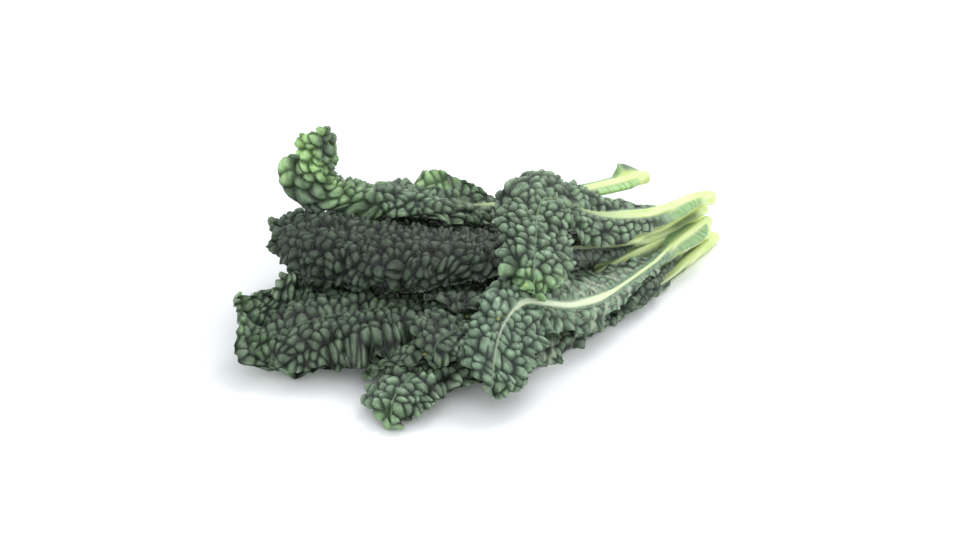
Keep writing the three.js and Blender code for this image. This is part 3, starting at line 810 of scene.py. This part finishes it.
# %% Leaf material
def leaf_material(title, valley_shade, wax_and_highlight, young_valley_shade, young_top_and_highlight, vein, vein_strength):
    """Waxy blade with a pale midrib. The colour goes from a painted shade in the valleys to wax with a painted
    highlight by the height of the dome, in fresher greens where the tissue is young, and the veins and the
    midrib are laid over it."""
    material = bpy.data.materials.new(title)
    material.use_nodes = True
    tree = material.node_tree
    shader = tree.nodes["Principled BSDF"]
    weight = {}
    for name in ("rib", "vein", "dome", "place", "young", "tone_and_shade", "upper"):
        weight[name] = add(tree, "ShaderNodeAttribute", {"attribute_name": name}).outputs["Fac"]

    flat = add(tree, "ShaderNodeUVMap", {"uv_map": "leaf"}).outputs["UV"]
    along = add(tree, "ShaderNodeMapping", None, {"Vector": flat}, {"Scale": (FIBRE_STRETCH, 1, 1)})
    noise = {}
    for name, vector, size, detail in (
        ("wax_and_highlight", flat, WAX_PATCH, 3.0),
        ("young", flat, YOUNG_PATCH, 2.0),
        ("spot", flat, SPOT, 1.0),
        ("fibre", along.outputs["Vector"], FIBRE, 2.0),
    ):
        texture = add(tree, "ShaderNodeTexNoise", None, {"Vector": vector},
                      {"Scale": 1 / size, "Detail": detail})
        noise[name] = texture.outputs["Fac"]

    step = {}
    for name, source, low, high in (
        ("thick wax", noise["wax_and_highlight"], 0.35, 0.65),
        ("fresh patch", noise["young"], 0.34, 0.58),
        ("spot", noise["spot"], 0.76, 0.80),
        ("pale fibre", noise["fibre"], 0.3, 0.7),
        ("old end", weight["place"], 0.6, 0.8),
        ("past the stalk", weight["place"], 0.1, 0.75),
    ):
        ramp = add(tree, "ShaderNodeMapRange", SMOOTH_STEP, {"Value": source},
                   {"From Min": low, "From Max": high})
        step[name] = ramp.outputs["Result"]

    wax_share = add(tree, "ShaderNodeMath", {"operation": "MULTIPLY_ADD"}, {0: step["thick wax"]},
                    {1: PATCHY_WAX, 2: 1 - PATCHY_WAX})
    wax_and_lit_tops = add(tree, "ShaderNodeMath", MULTIPLY, {0: weight["dome"], 1: wax_share.outputs[0]}).outputs[0]
    # Painted shade in the creases, and wax with a painted highlight on the dome tops.
    skin = add(tree, "ShaderNodeMix", COLOURS, {FACTOR: wax_and_lit_tops}, {FIRST: linear(valley_shade), SECOND: linear(wax_and_highlight)})
    fresh = add(tree, "ShaderNodeMix", COLOURS, {FACTOR: wax_and_lit_tops},
                {FIRST: linear(young_valley_shade), SECOND: linear(young_top_and_highlight)})
    freshness = add(tree, "ShaderNodeMath", MULTIPLY, {0: weight["young"], 1: step["fresh patch"]})
    blade = add(tree, "ShaderNodeMix", COLOURS, {FACTOR: freshness.outputs[0], FIRST: skin.outputs[MIXED],
                                                 SECOND: fresh.outputs[MIXED]})

    spot = add(tree, "ShaderNodeMath", MULTIPLY, {0: step["spot"], 1: step["old end"]})
    faint_spot = add(tree, "ShaderNodeMath", MULTIPLY, {0: spot.outputs[0]}, {1: SPOT_STRENGTH})
    spotted = add(tree, "ShaderNodeMix", COLOURS,
                  {FACTOR: faint_spot.outputs[0], FIRST: blade.outputs[MIXED]}, {SECOND: linear(SPOT_COLOUR)})
    # The tone lightens or darkens each leaf as a whole: partly its own lightness, partly painted light and
    # shade for where the leaf lies in the bunch.
    toned_and_shaded = add(tree, "ShaderNodeHueSaturation", None,
                {"Color": spotted.outputs[MIXED], "Value": weight["tone_and_shade"]})

    lower = add(tree, "ShaderNodeMath", {"operation": "SUBTRACT"}, {1: weight["upper"]}, {0: 1.0})
    paler = add(tree, "ShaderNodeMath", MULTIPLY, {0: lower.outputs[0]}, {1: UNDERSIDE_STRENGTH})
    both_sides = add(tree, "ShaderNodeMix", COLOURS,
                     {FACTOR: paler.outputs[0], FIRST: toned_and_shaded.outputs["Color"]}, {SECOND: linear(UNDERSIDE)})
    on_vein = add(tree, "ShaderNodeMath", MULTIPLY, {0: weight["vein"]}, {1: vein_strength})
    veined = add(tree, "ShaderNodeMix", COLOURS,
                 {FACTOR: on_vein.outputs[0], FIRST: both_sides.outputs[MIXED]}, {SECOND: linear(vein)})

    stalk = add(tree, "ShaderNodeMix", COLOURS, {FACTOR: step["pale fibre"]},
                {FIRST: linear(STALK_DEEP), SECOND: linear(STALK_PALE)})
    midrib = add(tree, "ShaderNodeMix", COLOURS,
                 {FACTOR: step["past the stalk"], FIRST: stalk.outputs[MIXED]}, {SECOND: linear(vein)})
    colour = add(tree, "ShaderNodeMix", COLOURS, {FACTOR: weight["rib"], FIRST: veined.outputs[MIXED],
                                                  SECOND: midrib.outputs[MIXED]})
    tree.links.new(colour.outputs[MIXED], shader.inputs["Base Color"])

    pores = add(tree, "ShaderNodeTexVoronoi", {"feature": "F1"}, {"Vector": flat}, {"Scale": 1 / PORE})
    bump = add(tree, "ShaderNodeBump", None, {"Height": pores.outputs["Distance"]},
               {"Strength": PORE_STRENGTH, "Distance": PORE_DEPTH})
    tree.links.new(bump.outputs["Normal"], shader.inputs["Normal"])
    shader.inputs["Roughness"].default_value = LEAF_ROUGHNESS
    shader.inputs["IOR"].default_value = WAX_IOR
    shader.inputs["Specular IOR Level"].default_value = 0.5
    return material


# %% [markdown]
# Three finishes cover the bunch. The dark one is the full-grown blade with thick wax. The veined one lies
# open near the stalk, where the net of veins shows white. The light-tipped one turns a fresh green towards
# its tip.

# %% The three finishes
# The valley colours, near black, are painted shade for the creases; the wax colours are the bloom together with
# a painted highlight on the dome tops.
MATERIALS = {
    "dark_leaf": leaf_material(
        "blue-green waxy blade", valley_shade="#0b120c", wax_and_highlight="#6e8268", young_valley_shade="#2a4420", young_top_and_highlight="#7ba05f",
        vein="#a3b88a", vein_strength=0.25),
    "veined_leaf": leaf_material(
        "grey-green veined blade", valley_shade="#131e15", wax_and_highlight="#788e74", young_valley_shade="#2a4420",
        young_top_and_highlight="#8aad6e", vein="#dfe8c8", vein_strength=0.85),
    "light_tipped_leaf": leaf_material(
        "blade with light green tip", valley_shade="#0d160e", wax_and_highlight="#6e8468", young_valley_shade="#2f4a1e",
        young_top_and_highlight="#aed58a", vein="#b0c58a", vein_strength=0.30),
}
for slot, finish in MATERIALS.items():
    print(f"{slot}: {finish.name}, {len(finish.node_tree.nodes)} nodes")

# %% [markdown]
# ## The thirteen leaves
#
# All are grown by the same functions. What differs from leaf to leaf is written in one table: lengths are in
# metres, and places along the leaf go from 0 at the cut stalk to 1 at the tip.
#
# - height: of the domes; dome: their breadth, as a share of the usual one
# - smooth_to: where the blisters begin; rib_to: where the midrib is as thin as a thread
# - vein_to: where the side veins end; net_to: how far out, from 0 to 1, the net of small veins reaches
# - thread: how much of its pale colour the thin midrib keeps; pale_from: where the midrib is pale all over
# - ruffle: height of the margin's wave; trough: depth of the valley that the midrib lies in
# - wing: breadth of the blade that runs down along the stalk; tone: how light the blade is, partly its own
#   lightness and partly painted light and shade for where it lies in the bunch
# - young, young_from, young_margin: how fresh the green is at the tip, from where, and at the margin
# - lobes: each with its side, its middle and half length along the midrib, and its reach
# - lobe_smooth, lobe_rise: how much smoother and fresher a lobe is, and how steeply it stands up

# %% The look of each leaf
PLAIN = {"dome": 1.05, "smooth_to": 0.45, "ruffle": 0.0018, "rib_to": 0.5, "trough": 0.0022, "net_to": 0.5,
         "vein_to": 0.7, "thread": 0.1, "young": 0.3, "young_from": 0.94, "young_margin": 0.0, "wing": 0.006,
         "tone_and_shade": 1.0, "lobes": [], "lobe_smooth": 0.0, "lobe_rise": 0.35,
         "pale_from": 0.0}
FRONT, BACK = -1, 1  # the two sides of a leaf
# Each leaf's tone is partly painted light and shade: leaves in the shade of others are painted darker, hanging
# ones that face the lamps lighter.
LOOKS = {
    "hooked_front_leaf": {"height": 0.0032, "dome": 1.1, "smooth_to": 0.5, "tone_and_shade": 2, "young": 0.6},
    "low_front_leaf": {"height": 0.0029, "tone_and_shade": 1.1},
    "outer_left_leaf": {"height": 0.0034, "dome": 1.15, "ruffle": 0.0026, "tone_and_shade": 1.85},
    "front_floor_leaf": {"height": 0.0027, "smooth_to": 0.6, "rib_to": 0.6, "net_to": 0.9, "vein_to": 1.3,
                         "tone_and_shade": 1.35},
    "short_side_leaf": {"height": 0.0017, "dome": 0.9, "smooth_to": 0.6, "rib_to": 0.6, "tone_and_shade": 1.1},
    "broad_front_leaf": {"height": 0.0032, "smooth_to": 0.4, "tone_and_shade": 1.05,
                         "lobes": [(FRONT, 0.300, 0.030, 0.016), (FRONT, 0.345, 0.020, 0.012)]},
    "cupped_tip_leaf": {"height": 0.0028, "dome": 0.95, "rib_to": 0.65, "tone_and_shade": 1.15, "thread": 0.4},
    "shaded_middle_leaf": {"height": 0.0024, "dome": 0.95, "rib_to": 0.65, "ruffle": 0.002, "tone_and_shade": 0.8},
    "white_rib_leaf": {"height": 0.0032, "dome": 1.1, "smooth_to": 0.55, "rib_to": 0.9, "net_to": 0.9,
                       "vein_to": 0.72, "tone_and_shade": 1.75, "thread": 0.3, "wing": 0.008, "pale_from": 0.54},
    "left_end_leaf": {"height": 0.0044, "ruffle": 0.0026, "tone_and_shade": 0.85, "lobe_rise": 1.0,
                      "lobes": [(BACK, 0.300, 0.035, 0.006)]},
    "long_centre_leaf": {"height": 0.0036, "smooth_to": 0.5, "rib_to": 0.6, "tone_and_shade": 0.57, "wing": 0.003,
                         "lobe_rise": 1.0, "lobes": [(BACK, 0.216, 0.030, 0.006)]},
    "curled_tip_leaf": {"height": 0.0035, "dome": 1.15, "smooth_to": 0.5, "ruffle": 0.003, "rib_to": 0.6,
                        "young": 1.0, "young_from": 0.7, "young_margin": 0.1, "tone_and_shade": 1.6,
                        "lobes": [(BACK, 0.015, 0.014, 0.010), (BACK, 0.194, 0.026, 0.006),
                                  (BACK, 0.242, 0.018, 0.008), (BACK, 0.282, 0.020, 0.011)],
                        "lobe_smooth": 0.5, "lobe_rise": 1.1},
    "folded_leaf": {"height": 0.0034, "smooth_to": 0.42, "rib_to": 0.6, "young": 0.6, "young_from": 0.9,
                    "tone_and_shade": 2.15, "thread": 0.5, "wing": 0.009},
}
print(len(LOOKS), "leaves, domes", min(look["height"] for look in LOOKS.values()) * 1000, "to",
      max(look["height"] for look in LOOKS.values()) * 1000, "mm high")

# %% [markdown]
# Each leaf now goes through the same steps: cage, middle surface, relief, closed sheet, finish. It takes the
# place of its plain solid, and it rides on the one body that the bunch is.

# %% Growing the leaves
EVERY_SEED = 2.7  # seeds this far apart share no pattern between leaves
slots = {row["node"]: row["material_slot"] for row in frame["record"]["subparts"]}

for number, (name, own_look) in enumerate(LOOKS.items()):
    look = {**PLAIN, "seed": 1 + EVERY_SEED * number, **own_look}
    surface = middle_surface(*leaf_cage(frame["nodes"][name]))
    relief = blade_relief(surface, look)
    mesh = leaf_mesh(name + "_blistered", surface, relief, look["tone_and_shade"])
    leaf = bpy.data.objects.new(name + "_blistered", mesh)
    bpy.context.collection.objects.link(leaf)
    mesh.materials.append(MATERIALS[slots[name]])
    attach(leaf, "root")
    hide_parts(name)
    print(f"{name}: {len(mesh.polygons) * 2} triangles, {1000 * surface['length']:.0f} mm long")
